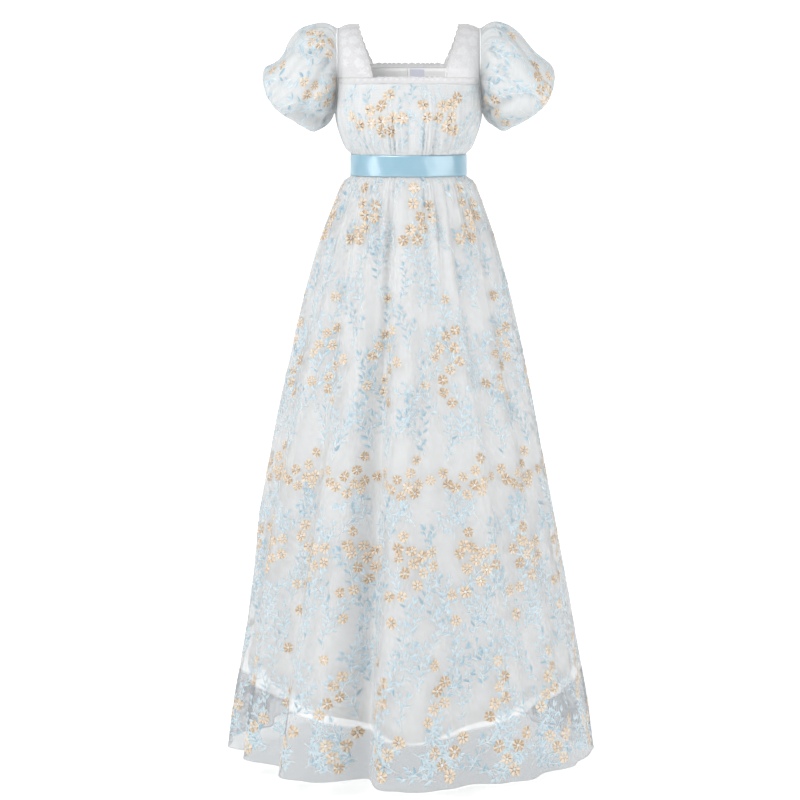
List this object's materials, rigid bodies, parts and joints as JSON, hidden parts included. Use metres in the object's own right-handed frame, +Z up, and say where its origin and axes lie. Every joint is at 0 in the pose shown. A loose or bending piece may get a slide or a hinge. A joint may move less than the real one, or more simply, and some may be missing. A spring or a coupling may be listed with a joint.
{
  "type": "high-waisted regency gown",
  "caption": "Full-length high-waisted gown with puff sleeves, lace shoulder straps, a ribbon waistband and a gathered sheer skirt over a lining.",
  "frame": {"origin": "midway between the two shoulder straps, at the height where the wearer's shoulders carry them", "axes": "+Z up along the gown from hem to neck, -Y the gown's front, +X the wearer's left"},
  "size_m": [0.7306, 0.6542, 1.4315],
  "materials": {
    "embroidered_net": "sheer woven net with satin-stitch flowers and leaves",
    "lining": "smooth matte lining",
    "lace": "corded lace with a scalloped edge",
    "satin_ribbon": "smooth satin with a soft sheen",
    "label": "smooth woven tape, bare"
  },
  "bodies": {
    "root": {"bodice_front": "embroidered_net", "bodice_back_left": "embroidered_net", "bodice_back_right": "embroidered_net", "skirt_front": "embroidered_net", "skirt_back_left": "embroidered_net", "skirt_back_right": "embroidered_net", "sleeve_left": "embroidered_net", "sleeve_right": "embroidered_net", "bodice_lining_front": "lining", "bodice_lining_back_left": "lining", "bodice_lining_back_right": "lining", "skirt_lining_front": "lining", "skirt_lining_back_left": "lining", "skirt_lining_back_right": "lining", "strap_left": "lace", "strap_right": "lace", "neck_edging_front": "lace", "neck_edging_back": "lace", "ribbon": "satin_ribbon", "ribbon_lap": "satin_ribbon", "neck_label": "label"}
  },
  "joints": []
}
